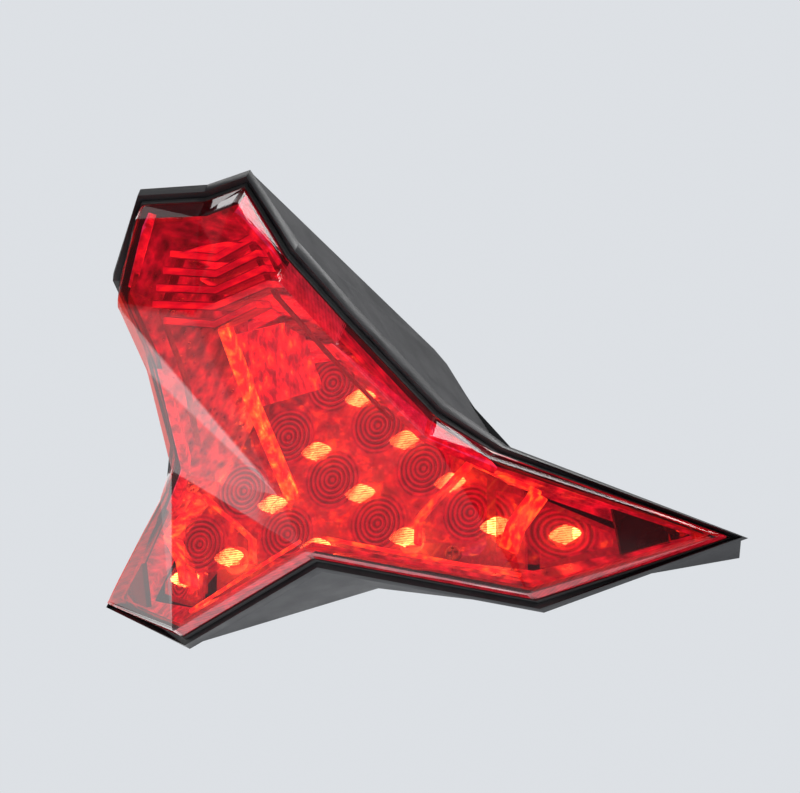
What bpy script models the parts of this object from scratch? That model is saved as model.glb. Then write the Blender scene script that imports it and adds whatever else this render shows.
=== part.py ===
"""Rear lamp of a sport motorcycle: a red arrow-shaped lens on a black housing.

The lamp is drawn in a lens frame whose origin lies midway between the two inner corners, where the
spine of the arrow meets its wings. +X is the lamp's right, +Y points into the motorcycle and +Z is up.
The empty named lamp moves that frame, so that the world origin is the centre of the mounting pad.
Sizes below are in millimetres; meshes are made in metres.
"""

import math

import bmesh
import bpy
import numpy as np
from mathutils import Matrix, Vector

MM = 0.001
GAP = 0.3

# Lens outline, right half, from the top centre round to the bottom notch: the visible front edge.
FRONT_EDGE = {
    "crown": (0.0, -57.0, 46.0),
    "shoulder": (15.0, -64.0, 45.5),
    "brow": (24.0, -57.0, 25.0),
    "waist": (28.7, -33.0, 14.0),
    "inner_corner": (40.0, 0.5, -4.6),
    "wing_root": (51.0, 13.0, -8.0),
    "wing_tip": (99.0, 63.0, -24.0),
    "wing_heel": (55.5, 29.0, -43.0),
    "notch": (0.0, 4.5, -30.6),
}
# How far the lens's side wall runs back from each point of that edge.
SIDE_WALL = {
    "crown": (0.0, 3.5, 5.5),
    "shoulder": (0.6, 4.0, 5.5),
    "brow": (1.5, 3.0, 6.5),
    "waist": (1.3, 3.0, 6.5),
    "inner_corner": (0.6, 2.5, 6.3),
    "wing_root": (0.5, 5.0, 2.0),
    "wing_tip": (1.0, 6.0, 0.5),
    "wing_heel": (0.0, 6.0, -1.0),
    "notch": (0.0, 6.0, -1.2),
}
# Corners of the housing's back, in the same order.
HOUSING_BACK = {
    "crown": (0.0, 50.0, 37.0),
    "shoulder": (18.0, 50.0, 37.0),
    "brow": (22.0, 50.0, 32.0),
    "waist": (28.0, 50.0, 22.0),
    "inner_corner": (42.0, 50.0, 0.0),
    "wing_root": (56.0, 50.0, -9.0),
    "wing_tip": (97.0, 84.0, -26.0),
    "wing_heel": (56.0, 50.0, -38.0),
    "notch": (0.0, 50.0, -32.0),
}
# The reflector's deep edge, which frames the optics.
REFLECTOR_THROAT = {
    "crown": (0.0, 24.0, 33.0),
    "shoulder": (15.5, 24.0, 32.5),
    "brow": (19.5, 24.0, 28.0),
    "waist": (25.5, 24.0, 18.0),
    "inner_corner": (38.0, 25.0, -2.5),
    "wing_root": (50.0, 31.0, -10.5),
    "wing_tip": (84.0, 67.0, -24.0),
    "wing_heel": (53.5, 38.0, -36.0),
    "notch": (0.0, 24.0, -27.0),
}
KEEL_TOP = (0.0, -59.0, 18.4)
KEEL_FOOT = (0.0, -9.8, -18.6)

LENS_WALL = 2.5
HOUSING_WALL = 2.5
SEAL_HEIGHT = 1.5
FLANGE_WIDTH = 1.6
FLANGE_HEIGHT = 3.0
FLANGE_STEP = 0.8
REFLECTOR_WALL = 1.2
REFLECTOR_INSET = 3.0
REFLECTOR_MOUTH = -2.0

# Optics and electronics. Outlines are right halves in X and Z, from the top down.
OPTIC_FRONT_Y = 21.5
OPTIC_THICKNESS = 2.4
OPTIC_OUTLINE = (
    (0.0, 30.5), (13.2, 30.0), (17.2, 26.0), (23.2, 16.0),
    (35.8, -4.6), (44.0, -11.5), (44.0, -29.0), (0.0, -24.5),
)
BOARD_FRONT_Y = 43.0
BOARD_THICKNESS = 1.6
BOARD_OUTLINE = (
    (0.0, 32.5), (14.5, 32.0), (18.0, 28.0), (24.0, 18.0),
    (37.5, -3.0), (49.0, -10.5), (49.0, -33.0), (0.0, -28.0),
)
BACK_Y = 50.0

# Screw posts, screws, inserts and breathers. A cut runs past the face it opens by OVERSHOOT.
OVERSHOOT = 1.0
SMALL_SIDES = 16
BOSS_FLOOR = 0.8
POST_RADIUS = 3.0
POST_BORE = 1.5
POST_FLOOR = 0.6
SOCKET_WINDOW = (7.5, 2.0)
SCREW_HEAD = (2.4, 1.5)
SCREW_SHANK_RADIUS = 1.2
SCREW_END_Y = 46.9
SCREW_SLOT = (0.4, 1.6, 0.7)
INSERT_RADIUS = 4.3
INSERT_BORE = 2.5
INSERT_ENDS_Y = (51.1, 55.7)
VENT_RADIUS = 4.0
VENT_HEIGHT = 3.3
VENT_END_Y = 46.4
VENT_DUCT = 0.8
VENT_SIDES = 20

# A wing's back panel is the plane WING_SLOPE_Y * y - WING_SLOPE_X * x = WING_PLANE.
WING_RUN_X = HOUSING_BACK["wing_tip"][0] - HOUSING_BACK["wing_root"][0]
WING_RUN_Y = HOUSING_BACK["wing_tip"][1] - HOUSING_BACK["wing_root"][1]
WING_SLOPE_X = WING_RUN_Y / math.hypot(WING_RUN_X, WING_RUN_Y)
WING_SLOPE_Y = WING_RUN_X / math.hypot(WING_RUN_X, WING_RUN_Y)
WING_PLANE = WING_SLOPE_Y * BACK_Y - WING_SLOPE_X * HOUSING_BACK["wing_root"][0]
WING_BOARD_THICKNESS = 1.2
WING_BOARD_DEPTH = HOUSING_WALL + 0.4 + WING_BOARD_THICKNESS
WING_BOARD_OUTLINE = ((53.5, -13.0), (74.0, -22.5), (74.0, -26.5), (57.0, -33.0), (53.5, -33.0))
WING_OPTIC_THICKNESS = 2.0
WING_OPTIC_DEPTH = 9.0
WING_OPTIC_OUTLINE = (
    (46.0, -13.0), (50.0, -13.6), (71.0, -23.0), (71.0, -26.4), (54.0, -33.0), (46.0, -32.4)
)

# The stepped mirror over the spine and the light guide behind the keel.
BROW_START_Y = 18.0
BROW_RUN = 13.5
BROW_TREADS = (27.0, 30.0, 33.0, 36.5, 40.0)
BROW_THICKNESS = 1.5
BROW_HALF_WIDTH = 11.0
GUIDE_LINE = [(-43.0, 19.0), (-27.0, 2.0), (-4.0, -18.5)]
GUIDE_DEPTH = 4.0
GUIDE_HALF_WIDTH = 1.2
BEZEL_GAP = 0.9
BEZEL_REACH = 0.42
BEZEL_THICKNESS = 1.6

# Light sources: a square grid turned by 45 degrees, LED_PITCH along its own rows.
LED_PITCH = 20.0
LED_STEP = LED_PITCH / math.sqrt(2.0)
LED_TOP_Z = 21.5
LED_ROWS = 4
WING_LED = (60.5, -24.0)
LED_SIZE = 3.6
LED_HEIGHT = 1.3
LED_DOME_RADIUS = 1.35

MOUNT_FACE_Y = 56.0
PAD_HALF_WIDTH = 17.0
PAD_HALF_HEIGHT = 7.0
BOSS_RADIUS = 7.0
BOSS_BORE = 4.6
BOSSES = {"top": (0.0, 25.0), "left": (-38.0, -22.0), "right": (38.0, -22.0)}

SOCKET_CENTRE = (0.0, -20.0)
SOCKET_FLANGE = (28.0, 16.0, 2.0)
SOCKET_OUTER = (23.0, 12.0)
SOCKET_WALL = 1.7
SOCKET_DEPTH = 14.0
TERMINAL_X = (-5.0, 0.0, 5.0)
TERMINAL_WIDTH = 1.4
TERMINAL_ENDS_Y = (45.0, 57.0)

VENTS = {"left": (-15.5, 24.0), "right": (15.5, 24.0)}
VENT_HOLE = 2.2
BOARD_SCREWS = ((-9.5, 29.0), (9.5, 29.0), (-27.5, -26.5), (27.5, -26.5))

CHIPS = {
    "current_regulator": (-10.0, 12.0, 8.0, 8.0, 1.8),
    "resistor_1": (8.0, 12.0, 5.0, 3.2, 1.2),
    "resistor_2": (16.0, 12.0, 5.0, 3.2, 1.2),
}

FINISHES = {
    "red_lens": ((0.55, 0.01, 0.02), 0.08, 0.0),
    "black_housing": ((0.02, 0.02, 0.022), 0.5, 0.0),
    "seal_rubber": ((0.03, 0.03, 0.03), 0.8, 0.0),
    "metallised": ((0.75, 0.72, 0.72), 0.18, 1.0),
    "black_trim": ((0.015, 0.015, 0.016), 0.3, 0.0),
    "clear_optic": ((0.85, 0.8, 0.8), 0.06, 0.0),
    "circuit_board": ((0.85, 0.85, 0.82), 0.5, 0.0),
    "led_package": ((0.95, 0.82, 0.3), 0.35, 0.0),
    "steel": ((0.6, 0.6, 0.62), 0.3, 1.0),
    "brass": ((0.78, 0.6, 0.3), 0.3, 1.0),
    "chip": ((0.03, 0.03, 0.035), 0.4, 0.0),
}


def clear_scene():
    for item in list(bpy.data.objects):
        bpy.data.objects.remove(item, do_unlink=True)


def finish(name):
    """The Principled material of a finish, made on first use."""
    made = bpy.data.materials.get(name)
    if made is None:
        colour, roughness, metallic = FINISHES[name]
        made = bpy.data.materials.new(name)
        made.use_nodes = True
        shader = made.node_tree.nodes["Principled BSDF"]
        shader.inputs["Base Color"].default_value = (*colour, 1.0)
        shader.inputs["Roughness"].default_value = roughness
        shader.inputs["Metallic"].default_value = metallic
        made.diffuse_color = (*colour, 1.0)
    return made


def place(name, mesh, finish_name):
    """Puts a mesh into the scene as one named piece of the lamp."""
    piece = bpy.data.objects.new(name, mesh)
    bpy.context.scene.collection.objects.link(piece)
    piece.parent = bpy.data.objects["lamp"]
    mesh.materials.append(finish(finish_name))
    return piece


def mesh_of(points, faces):
    """A closed mesh with its faces pointing out, from points in millimetres.

    Twisted quads are split along their shorter diagonal, so that stacked pieces share their twist.
    """
    work = bmesh.new()
    corners = [work.verts.new(Vector(point) * MM) for point in points]
    for face in faces:
        work.faces.new([corners[i] for i in face])
    bmesh.ops.triangulate(work, faces=work.faces, quad_method="SHORT_EDGE", ngon_method="BEAUTY")
    bmesh.ops.recalc_face_normals(work, faces=work.faces)
    if work.calc_volume(signed=True) < 0.0:
        bmesh.ops.reverse_faces(work, faces=work.faces)
    mesh = bpy.data.meshes.new("piece")
    work.to_mesh(mesh)
    work.free()
    return mesh


def full_ring(half):
    """A closed ring from a right half: down the right side, then back up the left."""
    right = [np.array(point) for point in half.values()]
    left = [point * (-1.0, 1.0, 1.0) for point in right[-2:0:-1]]
    return np.array(right + left)


NAMES = list(FRONT_EDGE)
RING = 2 * (len(NAMES) - 1)


def strip(first, second):
    """Faces between two rings whose points start at these indices."""
    return [
        (first + i, first + (i + 1) % RING, second + (i + 1) % RING, second + i) for i in range(RING)
    ]


def back_cap(start):
    """Faces that close a ring at the back: the flat middle and a slanted panel on each wing."""
    root, tip, heel = (NAMES.index(name) for name in ("wing_root", "wing_tip", "wing_heel"))
    middle = [start + i for i in range(RING) if i not in (tip, RING - tip)]
    right = (start + root, start + tip, start + heel)
    left = (start + RING - heel, start + RING - tip, start + RING - root)
    return [tuple(middle), right, left]


def offset_points(points, faces, distance):
    """Moves every point so that each face at it moves by a distance against its normal."""
    rows = [[] for _ in points]
    for face in faces:
        corners = [points[i] for i in face]
        normal = sum(np.cross(a - corners[0], b - corners[0]) for a, b in zip(corners[1:], corners[2:]))
        normal = normal / np.linalg.norm(normal)
        for i in face:
            rows[i].append(normal)
    moves = [np.linalg.pinv(np.array(n), rcond=0.02) @ np.full(len(n), -distance) for n in rows]
    return np.array(points) + np.array(moves)


FRONT = full_ring(FRONT_EDGE)
WALL_RUN = full_ring(SIDE_WALL)
RIM = FRONT + WALL_RUN
WALL_DIRECTION = WALL_RUN / np.linalg.norm(WALL_RUN, axis=1, keepdims=True)
INWARD = offset_points(np.vstack([FRONT, RIM]), strip(0, RING), 1.0)[RING:] - RIM


def ring_at(height, inset=0.0):
    """The lens's rim, carried on along its side wall by a height and moved in by an inset."""
    return RIM + height * WALL_DIRECTION + inset * INWARD


def tube(rings):
    """A closed ring-shaped solid from the rings of its section, taken in order round the section."""
    count = len(rings)
    faces = [face for i in range(count) for face in strip(i * RING, (i + 1) % count * RING)]
    return mesh_of(np.vstack(rings), faces)


def shell(points, faces, thickness, rim_start):
    """A wall behind an open surface whose faces point out and whose open edge is the lens's rim."""
    inner = offset_points(points, faces, thickness)
    rim = slice(rim_start, rim_start + RING)
    inner[rim] = points[rim] + thickness * INWARD
    count = len(points)
    inside = [tuple(count + i for i in reversed(face)) for face in faces]
    closing = strip(rim_start, count + rim_start)
    return mesh_of(np.vstack([points, inner]), list(faces) + inside + closing)


def lens_surface():
    """The lens's outside: its facets, then the side wall down to the rim."""
    at = {name: i for i, name in enumerate(NAMES)}
    top, foot = 2 * RING, 2 * RING + 1
    right = [
        ("crown", "shoulder", "brow", top),
        (top, "brow", foot),
        ("brow", "waist", foot),
        ("waist", "inner_corner", foot),
        (foot, "inner_corner", "notch"),
        ("inner_corner", "wing_heel", "notch"),
        ("inner_corner", "wing_root", "wing_heel"),
        ("wing_root", "wing_tip", "wing_heel"),
    ]
    facets = []
    for face in right:
        numbers = [at.get(corner, corner) for corner in face]
        mirrored = [n if n >= RING else (RING - n) % RING for n in numbers]
        facets += [tuple(reversed(numbers)), tuple(mirrored)]
    points = np.vstack([FRONT, RIM, KEEL_TOP, KEEL_FOOT])
    return points, facets + strip(0, RING)


def make_lens():
    points, faces = lens_surface()
    return place("outer_lens", shell(points, faces, LENS_WALL, RING), "red_lens")


def make_seal():
    """The bead between the lens's rim and the housing."""
    low, high = GAP, GAP + SEAL_HEIGHT
    section = [ring_at(low), ring_at(high), ring_at(high, LENS_WALL), ring_at(low, LENS_WALL)]
    return place("lens_seal", tube(section), "seal_rubber")


def housing_tub():
    """The bare tub: a flange round its mouth, then walls that run to the back."""
    mouth = SEAL_HEIGHT + 2 * GAP
    flange_end = mouth + FLANGE_HEIGHT
    back = full_ring(HOUSING_BACK)
    plain = np.vstack([ring_at(mouth), back])
    inner = offset_points(plain, strip(0, RING) + back_cap(RING), HOUSING_WALL)
    inner[:RING] = ring_at(mouth, HOUSING_WALL)
    outer = [
        ring_at(mouth, -FLANGE_WIDTH),
        ring_at(flange_end, -FLANGE_WIDTH),
        ring_at(flange_end + FLANGE_STEP),
        back,
    ]
    points = np.vstack([*outer, inner])
    last = (len(outer) - 1) * RING
    faces = [face for start in range(0, last, RING) for face in strip(start, start + RING)]
    faces += back_cap(last) + strip(0, last + RING) + strip(last + RING, last + 2 * RING)
    faces += back_cap(last + 2 * RING)
    return mesh_of(points, faces)


def join(piece, other, operation):
    """Runs a Boolean with another object, then removes that object."""
    bpy.context.view_layer.update()
    cut = piece.modifiers.new(operation.lower(), "BOOLEAN")
    cut.object, cut.operation, cut.solver = other, operation, "EXACT"
    bpy.context.view_layer.update()
    evaluated = piece.evaluated_get(bpy.context.evaluated_depsgraph_get())
    result = bpy.data.meshes.new_from_object(evaluated)
    piece.modifiers.clear()
    piece.data = result
    bpy.data.objects.remove(other, do_unlink=True)


def cylinder(radius, y_from, y_to, x, z, sides=24):
    """A closed rod along Y."""
    work = bmesh.new()
    middle = Vector((x, (y_from + y_to) / 2, z)) * MM
    turn = Matrix.Translation(middle) @ Matrix.Rotation(math.radians(90), 4, "X")
    bmesh.ops.create_cone(
        work, cap_ends=True, segments=sides, radius1=radius * MM, radius2=radius * MM,
        depth=abs(y_to - y_from) * MM, matrix=turn,
    )
    mesh = bpy.data.meshes.new("rod")
    work.to_mesh(mesh)
    work.free()
    return mesh


def block(x_range, y_range, z_range):
    """A closed box between three pairs of limits."""
    points = [(x, y, z) for x in x_range for y in y_range for z in z_range]
    faces = [(0, 1, 3, 2), (4, 6, 7, 5), (0, 4, 5, 1), (2, 3, 7, 6), (0, 2, 6, 4), (1, 5, 7, 3)]
    return mesh_of(points, faces)


def prism(outline, y_from, y_to):
    """A closed plate across Y whose outline is a list of (x, z) points."""
    count = len(outline)
    points = [(x, y, z) for y in (y_from, y_to) for x, z in outline]
    sides = [(i, (i + 1) % count, count + (i + 1) % count, count + i) for i in range(count)]
    return mesh_of(points, [tuple(range(count)), tuple(range(count, 2 * count)), *sides])


def symmetric(right_half):
    """A closed outline from its right half, whose first and last points lie on the centre line."""
    return list(right_half) + [(-x, z) for x, z in reversed(right_half[1:-1])]


def scratch(mesh):
    """A short-lived object for a Boolean."""
    return place("scratch", mesh, "steel")


def add(piece, mesh):
    join(piece, scratch(mesh), "UNION")


def cut(piece, mesh):
    join(piece, scratch(mesh), "DIFFERENCE")


def make_housing():
    """The tub with its mounting pad, bosses, screw posts and holes."""
    housing = place("rear_housing", housing_tub(), "black_housing")
    inner_y = BACK_Y - HOUSING_WALL
    wide, high = (-PAD_HALF_WIDTH, PAD_HALF_WIDTH), (-PAD_HALF_HEIGHT, PAD_HALF_HEIGHT)
    add(housing, block(wide, (BACK_Y - OVERSHOOT, MOUNT_FACE_Y), high))
    for x, z in BOSSES.values():
        add(housing, cylinder(BOSS_RADIUS, BACK_Y - OVERSHOOT, MOUNT_FACE_Y, x, z))
        cut(housing, cylinder(BOSS_BORE, BACK_Y + BOSS_FLOOR, MOUNT_FACE_Y + OVERSHOOT, x, z))
    for x, z in BOARD_SCREWS:
        post_y = BOARD_FRONT_Y + BOARD_THICKNESS + GAP
        add(housing, cylinder(POST_RADIUS, post_y, inner_y + OVERSHOOT, x, z, SMALL_SIDES))
        cut(housing, cylinder(POST_BORE, BOARD_FRONT_Y, inner_y + POST_FLOOR, x, z, SMALL_SIDES))
    for x, z in VENTS.values():
        cut(housing, cylinder(VENT_HOLE, inner_y - OVERSHOOT, BACK_Y + OVERSHOOT, x, z, SMALL_SIDES))
    (x, z), (across, up) = SOCKET_CENTRE, SOCKET_WINDOW
    window_y = (inner_y - OVERSHOOT, BACK_Y + OVERSHOOT)
    cut(housing, block((x - across, x + across), window_y, (z - up, z + up)))
    return housing


def make_reflector():
    """The metallised funnel that lines the housing between the lens and the optics."""
    mouth = ring_at(REFLECTOR_MOUTH, REFLECTOR_INSET)
    throat = full_ring(REFLECTOR_THROAT)
    inner = offset_points(np.vstack([mouth, throat]), strip(0, RING), REFLECTOR_WALL)
    inner[:RING] = ring_at(REFLECTOR_MOUTH, REFLECTOR_INSET + REFLECTOR_WALL)
    return place("reflector", tube([mouth, throat, inner[RING:], inner[:RING]]), "metallised")


def side_band(line, deep, half_width):
    """A closed band across X between two lines of (y, z) points, point for point."""
    count = len(line)
    points = [(x, y, z) for x in (-half_width, half_width) for y, z in [*line, *deep]]
    faces = []
    for i in range(count - 1):
        left = (i, i + 1, count + i + 1, count + i)
        right = tuple(2 * count + corner for corner in left)
        faces += [left, right, (i, i + 1, right[1], right[0]), (left[3], left[2], right[2], right[3])]
    for i in (0, count - 1):
        faces.append((i, count + i, 3 * count + i, 2 * count + i))
    return mesh_of(points, faces)


def make_brow_reflector():
    """The stepped mirror above the spine, whose treads rise towards the brow."""
    line = []
    for tread, height in enumerate(BROW_TREADS):
        line.append((BROW_START_Y - tread * BROW_RUN, height))
        line.append((BROW_START_Y - (tread + 1) * BROW_RUN, height))
    deep = [(y + BROW_THICKNESS, z + BROW_THICKNESS) for y, z in line]
    return place("brow_reflector", side_band(line, deep, BROW_HALF_WIDTH), "metallised")


def make_keel_guide():
    """The light guide that runs down behind the lens's keel."""
    shift = GUIDE_DEPTH / math.sqrt(2.0)
    deep = [(y + shift, z + shift) for y, z in GUIDE_LINE]
    return place("keel_light_guide", side_band(GUIDE_LINE, deep, GUIDE_HALF_WIDTH), "clear_optic")


def make_tip_bezels():
    """The black inserts that close the two wing tips behind the lens."""
    points, faces = lens_surface()
    root, tip, heel = (NAMES.index(name) for name in ("wing_root", "wing_tip", "wing_heel"))
    inside = offset_points(points, faces, LENS_WALL + BEZEL_GAP)[[root, tip, heel]]
    corners = inside[1] + BEZEL_REACH * (inside - inside[1])
    across = np.cross(corners[1] - corners[0], corners[2] - corners[0])
    back = corners - BEZEL_THICKNESS * across / np.linalg.norm(across) * np.sign(-across[1])
    for name, side in (("left", -1.0), ("right", 1.0)):
        both = np.vstack([corners, back]) * (side, 1.0, 1.0)
        faces = [(0, 1, 2), (3, 5, 4), (0, 3, 4, 1), (1, 4, 5, 2), (2, 5, 3, 0)]
        place(f"tip_bezel_{name}", mesh_of(both, faces), "black_trim")


def wing_y(x, depth):
    """Y of the plane that lies a depth in front of a wing's slanted back panel."""
    return (WING_PLANE - depth + WING_SLOPE_X * abs(x)) / WING_SLOPE_Y


def wing_plate(outline, depth, thickness, side):
    """A closed plate along a wing's back panel, whose outline is a list of (x, z) points."""
    count = len(outline)
    points = [
        (side * x, wing_y(x, layer), z) for layer in (depth, depth - thickness) for x, z in outline
    ]
    sides = [(i, (i + 1) % count, count + (i + 1) % count, count + i) for i in range(count)]
    return mesh_of(points, [tuple(range(count)), tuple(range(count, 2 * count)), *sides])


def make_optics():
    place(
        "optic_centre",
        prism(symmetric(OPTIC_OUTLINE), OPTIC_FRONT_Y, OPTIC_FRONT_Y + OPTIC_THICKNESS),
        "clear_optic",
    )
    for name, side in (("left", -1.0), ("right", 1.0)):
        mesh = wing_plate(WING_OPTIC_OUTLINE, WING_OPTIC_DEPTH, WING_OPTIC_THICKNESS, side)
        place(f"optic_wing_{name}", mesh, "clear_optic")


def make_boards():
    back_y = BOARD_FRONT_Y + BOARD_THICKNESS
    board = place(
        "led_board", prism(symmetric(BOARD_OUTLINE), BOARD_FRONT_Y, back_y), "circuit_board"
    )
    for x, z in BOARD_SCREWS:
        cut(board, cylinder(1.6, BOARD_FRONT_Y - 1.0, back_y + 1.0, x, z, 16))
    for name, side in (("left", -1.0), ("right", 1.0)):
        mesh = wing_plate(WING_BOARD_OUTLINE, WING_BOARD_DEPTH, WING_BOARD_THICKNESS, side)
        place(f"wing_board_{name}", mesh, "circuit_board")


def led_mesh():
    """One light source at the origin: a square package with a dome, facing -Y."""
    half = LED_SIZE / 2.0
    corners = [(-half, -half), (half, -half), (half, half), (-half, half)]
    package = scratch(prism(corners, -LED_HEIGHT, 0.0))
    dome = bmesh.new()
    bmesh.ops.create_uvsphere(
        dome, u_segments=12, v_segments=8, radius=LED_DOME_RADIUS * MM,
        matrix=Matrix.Translation(Vector((0.0, -LED_HEIGHT * MM, 0.0))),
    )
    mesh = bpy.data.meshes.new("dome")
    dome.to_mesh(mesh)
    dome.free()
    add(package, mesh)
    made = package.data.copy()
    bpy.data.objects.remove(package, do_unlink=True)
    made.materials.clear()
    made.materials.append(finish("led_package"))
    return made


def grid_places():
    """Centres of the light sources on the main board, row by row from the top."""
    return [
        (column * LED_STEP, LED_TOP_Z - row * LED_STEP)
        for row in range(LED_ROWS)
        for column in range(-row, row + 1, 2)
    ]


def make_leds():
    mesh = led_mesh()
    number = 0
    for x, z in grid_places():
        number += 1
        led = bpy.data.objects.new(f"led_{number:02d}", mesh)
        led.location = Vector((x, BOARD_FRONT_Y - GAP, z)) * MM
        adopt(led)
    for side in (-1.0, 1.0):
        number += 1
        led = bpy.data.objects.new(f"led_{number:02d}", mesh)
        x, z = WING_LED
        led.location = Vector((side * x, wing_y(x, WING_BOARD_DEPTH + GAP), z)) * MM
        led.rotation_euler.z = side * math.atan2(WING_SLOPE_X, WING_SLOPE_Y)
        adopt(led)


def adopt(piece):
    """Links an object into the scene under the lamp's empty."""
    bpy.context.scene.collection.objects.link(piece)
    piece.parent = bpy.data.objects["lamp"]


def make_board_screws():
    """Screws with crossed slots that hold the board to its posts."""
    radius, height = SCREW_HEAD
    narrow, long, slot_depth = SCREW_SLOT
    seat_y = BOARD_FRONT_Y - GAP
    slot_y = (seat_y - height - OVERSHOOT / 2.0, seat_y - height + slot_depth)
    for number, (x, z) in enumerate(BOARD_SCREWS, 1):
        head = cylinder(radius, seat_y - height, seat_y, x, z, SMALL_SIDES)
        screw = place(f"board_screw_{number}", head, "steel")
        add(screw, cylinder(SCREW_SHANK_RADIUS, seat_y - OVERSHOOT / 2.0, SCREW_END_Y, x, z, SMALL_SIDES))
        for across, up in ((narrow, long), (long, narrow)):
            cut(screw, block((x - across, x + across), slot_y, (z - up, z + up)))


def make_inserts():
    """Brass inserts for the mounting screws."""
    from_y, to_y = INSERT_ENDS_Y
    for name, (x, z) in BOSSES.items():
        insert = place(f"mount_insert_{name}", cylinder(INSERT_RADIUS, from_y, to_y, x, z), "brass")
        cut(insert, cylinder(INSERT_BORE, from_y - OVERSHOOT, to_y + OVERSHOOT, x, z))


def make_socket():
    """The sealed inlet on the back, with its three terminals."""
    x, z = SOCKET_CENTRE
    wide, high, thick = SOCKET_FLANGE
    base_y = BACK_Y + GAP
    end_y = base_y + SOCKET_DEPTH
    socket = place("connector_socket", box_about(x, z, wide, high, base_y, base_y + thick), "black_trim")
    add(socket, box_about(x, z, *SOCKET_OUTER, base_y + thick / 2.0, end_y))
    inner = [size - 2 * SOCKET_WALL for size in SOCKET_OUTER]
    cut(socket, box_about(x, z, *inner, base_y + thick, end_y + OVERSHOOT))
    slot = TERMINAL_WIDTH + 2 * GAP
    for pin_x in TERMINAL_X:
        cut(socket, box_about(x + pin_x, z, slot, slot, base_y - OVERSHOOT, base_y + thick + OVERSHOOT))
    for number, pin_x in enumerate(TERMINAL_X, 1):
        pin = box_about(x + pin_x, z, TERMINAL_WIDTH, TERMINAL_WIDTH, *TERMINAL_ENDS_Y)
        place(f"terminal_{number}", pin, "brass")


def box_about(x, z, width, height, y_from, y_to):
    """A closed box centred on (x, z)."""
    across, up = width / 2.0, height / 2.0
    return block((x - across, x + across), (y_from, y_to), (z - up, z + up))


def make_vents():
    """Breather plugs that push into the back wall."""
    for name, (x, z) in VENTS.items():
        top_y = BACK_Y + VENT_HEIGHT
        cap = cylinder(VENT_RADIUS, BACK_Y + GAP, top_y, x, z, VENT_SIDES)
        vent = place(f"breather_{name}", cap, "seal_rubber")
        add(vent, cylinder(VENT_HOLE - GAP, VENT_END_Y, BACK_Y + OVERSHOOT, x, z, VENT_SIDES))
        duct = cylinder(VENT_DUCT, VENT_END_Y - OVERSHOOT, top_y + OVERSHOOT, x, z, SMALL_SIDES)
        cut(vent, duct)


def make_electronics():
    """The current regulator and its resistors, on the back of the board."""
    top_y = BOARD_FRONT_Y + BOARD_THICKNESS + GAP
    for name, (x, z, width, height, thick) in CHIPS.items():
        place(name, box_about(x, z, width, height, top_y, top_y + thick), "chip")


def main():
    clear_scene()
    lamp = bpy.data.objects.new("lamp", None)
    bpy.context.scene.collection.objects.link(lamp)
    lamp.location.y = -MOUNT_FACE_Y * MM
    make_lens()
    make_seal()
    make_housing()
    make_reflector()
    make_brow_reflector()
    make_keel_guide()
    make_tip_bezels()
    make_optics()
    make_boards()
    make_leds()
    make_board_screws()
    make_electronics()
    make_inserts()
    make_socket()
    make_vents()


main()
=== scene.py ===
"""Looks of the motorcycle rear lamp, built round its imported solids.

The lamp's own frame is in metres: +X is the lamp's right, +Y points into the motorcycle and +Z
is up. New pieces are laid out in millimetres of the lens drawing, whose y = 0 lies in front of
that frame's.
"""

from __future__ import annotations

import logging
import math
from dataclasses import dataclass
from enum import Enum
from typing import Any, Callable, Iterable, Sequence

import bpy
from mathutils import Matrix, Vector
from mathutils.bvhtree import BVHTree


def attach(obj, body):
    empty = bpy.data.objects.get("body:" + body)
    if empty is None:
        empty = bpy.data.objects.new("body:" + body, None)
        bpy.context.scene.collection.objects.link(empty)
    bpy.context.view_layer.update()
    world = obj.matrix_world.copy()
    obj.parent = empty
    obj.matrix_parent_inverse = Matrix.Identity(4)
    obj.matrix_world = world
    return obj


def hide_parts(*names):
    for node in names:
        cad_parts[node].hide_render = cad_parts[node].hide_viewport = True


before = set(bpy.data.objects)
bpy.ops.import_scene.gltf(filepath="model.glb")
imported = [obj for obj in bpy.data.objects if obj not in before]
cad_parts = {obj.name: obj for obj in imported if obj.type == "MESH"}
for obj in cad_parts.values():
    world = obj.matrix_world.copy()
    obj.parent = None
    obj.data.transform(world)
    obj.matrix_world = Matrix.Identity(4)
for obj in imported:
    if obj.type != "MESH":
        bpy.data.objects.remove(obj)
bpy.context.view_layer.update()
LOG = logging.getLogger("rear_lamp")
Colour = tuple[float, float, float]
Point = tuple[float, float, float]
MM = 0.001
LAMP_Y = -56.0 * MM  # where y = 0 of the lens drawing lies in the lamp's frame
DIAGONAL = math.sqrt(0.5)
QUARTER_TURN: Point = (math.pi / 2, 0.0, 0.0)
SIDES = {"right": 1, "left": -1}
BLACK: Colour = (0.0, 0.0, 0.0)
WHITE: Colour = (1.0, 1.0, 1.0)
DARK_ALUMINIUM: Colour = (0.1, 0.09, 0.09)
PALE_ALUMINIUM: Colour = (0.35, 0.33, 0.33)


# ---------------------------------------------------------------- shader maths


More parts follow.
